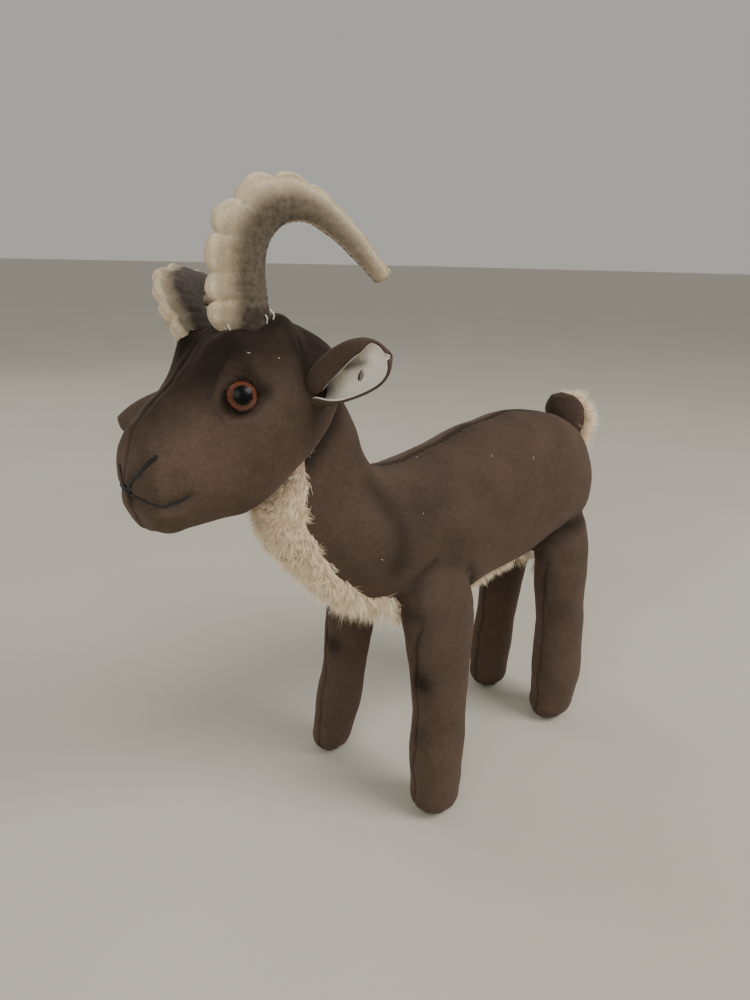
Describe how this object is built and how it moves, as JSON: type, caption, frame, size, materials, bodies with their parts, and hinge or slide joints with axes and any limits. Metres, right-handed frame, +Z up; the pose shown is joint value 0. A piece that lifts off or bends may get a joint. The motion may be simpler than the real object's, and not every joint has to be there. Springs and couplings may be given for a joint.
{
  "type": "stuffed toy ibex",
  "caption": "Standing stuffed velvet ibex with a mohair bib, glass eyes, curved felt horns, flexible ears and an upright tail.",
  "frame": {"origin": "on the floor under the middle of the toy's bounding box", "axes": "+X the animal's left, -Y the way it faces, +Z up"},
  "size_m": [0.0655, 0.1546, 0.1634],
  "materials": {
    "brown_velvet": "matte",
    "cream_mohair": "matte",
    "pale_lining": "matte",
    "horn_felt": "matte",
    "pale_felt": "matte",
    "stuffing": "matte",
    "amber_glass": "gloss",
    "black_pupil": "gloss",
    "black_thread": "matte",
    "brown_thread": "matte",
    "white_thread": "matte",
    "steel_wire": "satin",
    "clasp_metal": "satin"
  },
  "bodies": {
    "animal": {"body_side_left": "brown_velvet", "body_side_right": "brown_velvet", "leg_inner_front_left": "brown_velvet", "leg_inner_front_right": "brown_velvet", "leg_inner_rear_left": "brown_velvet", "leg_inner_rear_right": "brown_velvet", "head_side_left": "brown_velvet", "head_side_right": "brown_velvet", "bib_belly_gusset": "cream_mohair", "body_stuffing": "stuffing", "head_stuffing": "stuffing", "leg_stuffing_front_left": "stuffing", "leg_stuffing_front_right": "stuffing", "leg_stuffing_rear_left": "stuffing", "leg_stuffing_rear_right": "stuffing", "leg_wire_front_left": "steel_wire", "leg_wire_front_right": "steel_wire", "leg_wire_rear_left": "steel_wire", "leg_wire_rear_right": "steel_wire", "eye_shank_left": "steel_wire", "eye_shank_right": "steel_wire", "eye_glass_left": "amber_glass", "eye_pupil_left": "black_pupil", "eye_glass_right": "amber_glass", "eye_pupil_right": "black_pupil", "nose_mouth_thread": "black_thread", "back_seam_thread": "brown_thread"},
    "left_ear": {"ear_velvet_left": "brown_velvet", "ear_lining_left": "pale_lining", "ear_clasp_left": "clasp_metal"},
    "right_ear": {"ear_velvet_right": "brown_velvet", "ear_lining_right": "pale_lining"},
    "tail": {"tail_velvet": "brown_velvet", "tail_mohair": "cream_mohair", "tail_stuffing": "stuffing"},
    "left_horn": {"horn_outer_felt_left": "horn_felt", "horn_inner_felt_left": "horn_felt", "horn_underside_left": "pale_felt", "horn_stuffing_left": "stuffing", "horn_wire_left": "steel_wire", "horn_stitches_left": "white_thread"},
    "right_horn": {"horn_outer_felt_right": "horn_felt", "horn_inner_felt_right": "horn_felt", "horn_underside_right": "pale_felt", "horn_stuffing_right": "stuffing", "horn_wire_right": "steel_wire", "horn_stitches_right": "white_thread"}
  },
  "joints": [
    {"name": "left_ear_flap", "type": "hinge", "parent": "animal", "child": "left_ear", "pos_m": [0.0135, -0.0398, 0.1234], "axis": [0, 0, 1], "range_deg": [-18, 18], "stiffness_Nm_per_rad": 0.003},
    {"name": "right_ear_flap", "type": "hinge", "parent": "animal", "child": "right_ear", "pos_m": [-0.0138, -0.0485, 0.1186], "axis": [0, 0, 1], "range_deg": [-16, 6], "stiffness_Nm_per_rad": 0.003},
    {"name": "tail_flick", "type": "hinge", "parent": "animal", "child": "tail", "pos_m": [0, 0.0697, 0.0925], "axis": [1, 0, 0], "range_deg": [-12, 5], "stiffness_Nm_per_rad": 0.004},
    {"name": "left_horn_flex", "type": "hinge", "parent": "animal", "child": "left_horn", "pos_m": [0.0062, -0.0521, 0.1346], "axis": [0.9659, -0.2588, 0], "range_deg": [-8, 8], "stiffness_Nm_per_rad": 0.03},
    {"name": "right_horn_flex", "type": "hinge", "parent": "animal", "child": "right_horn", "pos_m": [-0.00783, -0.05535, 0.13048], "axis": [0.5529, 0.3814, 0.7408], "range_deg": [-8, 8], "stiffness_Nm_per_rad": 0.03}
  ]
}
